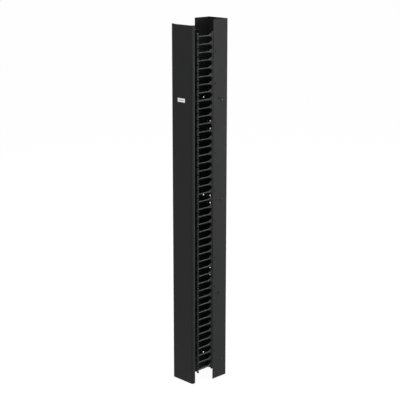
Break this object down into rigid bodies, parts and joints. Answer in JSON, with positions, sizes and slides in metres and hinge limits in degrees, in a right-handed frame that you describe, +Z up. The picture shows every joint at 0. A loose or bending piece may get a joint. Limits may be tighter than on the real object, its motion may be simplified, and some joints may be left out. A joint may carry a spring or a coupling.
{
  "type": "vertical cable manager",
  "caption": "Tall black cable channel for the side of an equipment rack, with rows of moulded cable fingers and a hinged full-height front door.",
  "frame": {"origin": "middle of the width and of the overall depth, at the channel's bottom edge", "axes": "+X to the right seen from the front, +Y to the rear towards the rack, +Z up"},
  "size_m": [0.165, 0.288, 2.1336],
  "materials": {
    "channel_paint": "matt black powder coat",
    "door_paint": "matt black powder coat",
    "finger_plastic": "satin moulded black plastic",
    "rivet_black": "satin black",
    "zinc_steel": "zinc-plated",
    "nylon": "plain nylon",
    "magnet_case": "satin",
    "label_white": "satin",
    "bolt_black": "black oxide"
  },
  "bodies": {
    "frame": {"channel_body": "channel_paint", "finger_strip_left_1": "finger_plastic", "finger_strip_left_2": "finger_plastic", "finger_strip_left_3": "finger_plastic", "finger_strip_left_4": "finger_plastic", "finger_strip_left_5": "finger_plastic", "strip_rivets_left": "rivet_black", "finger_strip_right_1": "finger_plastic", "finger_strip_right_2": "finger_plastic", "finger_strip_right_3": "finger_plastic", "finger_strip_right_4": "finger_plastic", "finger_strip_right_5": "finger_plastic", "strip_rivets_right": "rivet_black", "hinge_arm_lower": "channel_paint", "hinge_arm_rivets_lower": "rivet_black", "hinge_bush_lower": "nylon", "catch_arm_lower": "channel_paint", "catch_arm_rivets_lower": "rivet_black", "catch_magnet_lower": "magnet_case", "hinge_arm_upper": "channel_paint", "hinge_arm_rivets_upper": "rivet_black", "hinge_bush_upper": "nylon", "catch_arm_upper": "channel_paint", "catch_arm_rivets_upper": "rivet_black", "catch_magnet_upper": "magnet_case", "catch_screws": "zinc_steel", "side_bolts": "bolt_black", "side_nuts": "zinc_steel"},
    "door": {"door_panel": "door_paint", "label_plate": "label_white", "pin_bracket_lower": "door_paint", "hinge_pin_spring_lower": "zinc_steel", "pin_bracket_upper": "door_paint", "hinge_pin_spring_upper": "zinc_steel"},
    "hinge_pin_lower": {"hinge_pin_lower": "zinc_steel"},
    "hinge_pin_upper": {"hinge_pin_upper": "zinc_steel"}
  },
  "joints": [
    {"name": "door_hinge", "type": "hinge", "parent": "frame", "child": "door", "pos_m": [-0.06858, -0.12755, 1.0668], "axis": [0, 0, -1], "range_deg": [0, 120]},
    {"name": "hinge_pin_lower_slide", "type": "slide", "parent": "door", "child": "hinge_pin_lower", "axis": [0, 0, 1], "range_m": [0, 0.0185], "stiffness_N_per_m": 400, "springref_m": -0.012, "deforming": ["hinge_pin_spring_lower"]},
    {"name": "hinge_pin_upper_slide", "type": "slide", "parent": "door", "child": "hinge_pin_upper", "axis": [0, 0, 1], "range_m": [0, 0.0185], "stiffness_N_per_m": 400, "springref_m": -0.012, "deforming": ["hinge_pin_spring_upper"]}
  ]
}
